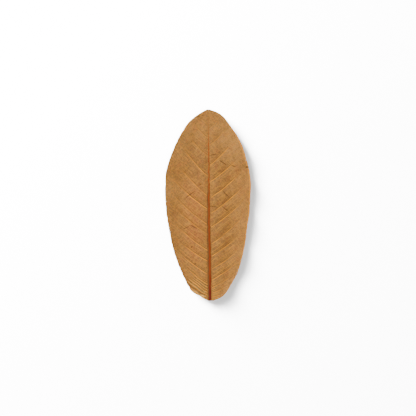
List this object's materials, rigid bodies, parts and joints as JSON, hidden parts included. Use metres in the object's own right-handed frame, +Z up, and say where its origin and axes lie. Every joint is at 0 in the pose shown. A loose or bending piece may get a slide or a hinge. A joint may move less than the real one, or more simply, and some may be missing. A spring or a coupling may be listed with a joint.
{
  "type": "dried guava leaf",
  "caption": "Dried oblong leaf with a blunt tip and a rounded base, a straight midrib and slanting side veins, lying with its upper side up on its own low points.",
  "frame": {"origin": "under the middle of the leaf's bounding box, on the surface that it lies on", "axes": "+Y along the midrib from the cut base to the tip, +X to the right of the tip seen from above, +Z up, out of the leaf's upper side"},
  "size_m": [0.0494, 0.11, 0.0047],
  "materials": {
    "dried_leaf": "matt"
  },
  "bodies": {
    "root": {"guava_leaf": "dried_leaf"}
  },
  "joints": []
}
